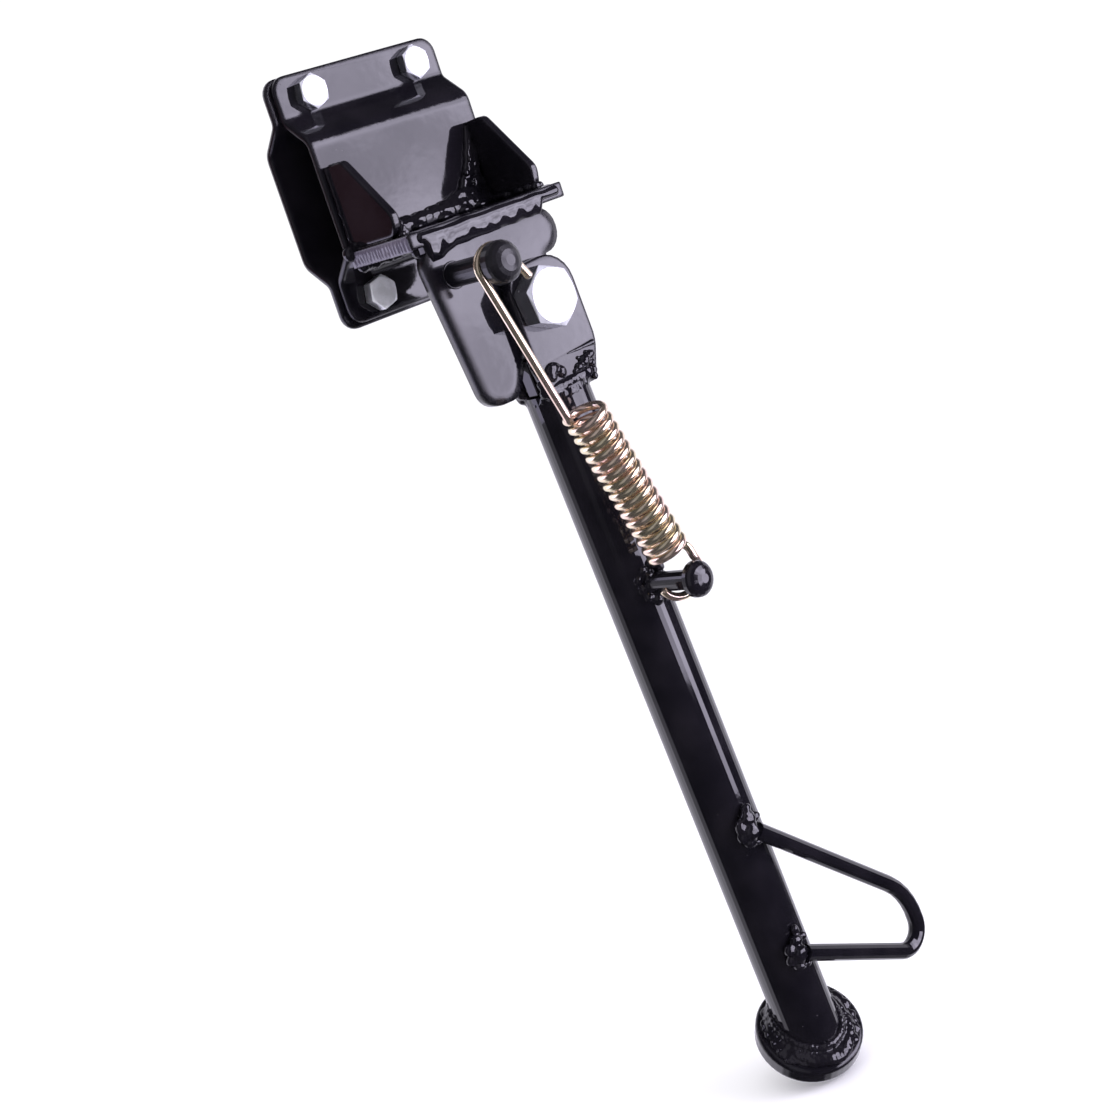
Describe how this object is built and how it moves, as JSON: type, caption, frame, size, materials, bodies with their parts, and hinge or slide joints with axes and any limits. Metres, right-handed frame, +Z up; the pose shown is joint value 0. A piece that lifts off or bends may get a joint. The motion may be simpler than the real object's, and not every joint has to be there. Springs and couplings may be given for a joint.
{
  "type": "motorcycle side stand",
  "caption": "Clamp-on folding side stand: split tube clamp, gusseted plate, pivot bracket, round leg with kick loop and foot disc, over-centre return spring.",
  "frame": {"origin": "centre of the clamp's cavity, on the frame tube's axis", "axes": "+X along the frame tube towards the side the leg folds to, +Y inboard through the clamp, +Z up the clamp flanges; the leg hangs down and is deployed at rest"},
  "size_m": [0.1497, 0.1152, 0.498],
  "materials": {
    "mat_clamp_shell_front": "gloss black paint over welded steel",
    "mat_clamp_shell_rear": "gloss black paint over welded steel",
    "mat_clamp_bolt_upper_left": "bright zinc plate",
    "mat_clamp_bolt_upper_right": "bright zinc plate",
    "mat_clamp_bolt_lower_left": "bright zinc plate",
    "mat_clamp_bolt_lower_right": "bright zinc plate",
    "mat_clamp_nut_upper_left": "bright zinc plate",
    "mat_clamp_nut_upper_right": "bright zinc plate",
    "mat_clamp_nut_lower_left": "bright zinc plate",
    "mat_clamp_nut_lower_right": "bright zinc plate",
    "mat_mounting_plate": "gloss black paint over welded steel",
    "mat_gusset_left": "gloss black paint over welded steel",
    "mat_gusset_right": "gloss black paint over welded steel",
    "mat_pivot_bracket": "gloss black paint over welded steel",
    "mat_spring_post_upper": "gloss black paint over welded steel",
    "mat_leg_ear_front": "gloss black paint over welded steel",
    "mat_leg_ear_rear": "gloss black paint over welded steel",
    "mat_leg_neck_web": "gloss black paint over welded steel",
    "mat_leg_tube": "gloss black paint over welded steel",
    "mat_foot_disc": "gloss black paint over welded steel",
    "mat_spring_peg_lower": "gloss black paint over welded steel",
    "mat_kick_loop": "gloss black paint over welded steel",
    "mat_pivot_bolt": "bright zinc plate",
    "mat_pivot_nut": "bright zinc plate",
    "mat_return_spring": "yellow zinc plate"
  },
  "bodies": {
    "clamp": {"clamp_shell_front": "mat_clamp_shell_front", "clamp_shell_rear": "mat_clamp_shell_rear", "clamp_bolt_upper_left": "mat_clamp_bolt_upper_left", "clamp_bolt_upper_right": "mat_clamp_bolt_upper_right", "clamp_bolt_lower_left": "mat_clamp_bolt_lower_left", "clamp_bolt_lower_right": "mat_clamp_bolt_lower_right", "clamp_nut_upper_left": "mat_clamp_nut_upper_left", "clamp_nut_upper_right": "mat_clamp_nut_upper_right", "clamp_nut_lower_left": "mat_clamp_nut_lower_left", "clamp_nut_lower_right": "mat_clamp_nut_lower_right", "mounting_plate": "mat_mounting_plate", "gusset_left": "mat_gusset_left", "gusset_right": "mat_gusset_right", "pivot_bracket": "mat_pivot_bracket", "spring_post_upper": "mat_spring_post_upper"},
    "leg": {"leg_ear_front": "mat_leg_ear_front", "leg_ear_rear": "mat_leg_ear_rear", "leg_neck_web": "mat_leg_neck_web", "leg_tube": "mat_leg_tube", "foot_disc": "mat_foot_disc", "spring_peg_lower": "mat_spring_peg_lower", "kick_loop": "mat_kick_loop", "pivot_bolt": "mat_pivot_bolt", "pivot_nut": "mat_pivot_nut"},
    "spring": {"return_spring": "mat_return_spring"}
  },
  "joints": [
    {"name": "leg_pivot", "type": "hinge", "parent": "clamp", "child": "leg", "pos_m": [0.005, -0.054, -0.0662], "axis": [0, -1, 0], "range_deg": [0, 109]},
    {"name": "spring_swing", "type": "hinge", "parent": "clamp", "child": "spring", "pos_m": [-0.0286, -0.0832, -0.045], "axis": [0, -1, 0], "range_deg": [0, 85.3], "deforming": ["return_spring"]}
  ],
  "couplings": [
    {"joint": "spring_swing", "follows": "leg_pivot", "ratio": 0.78165}
  ]
}
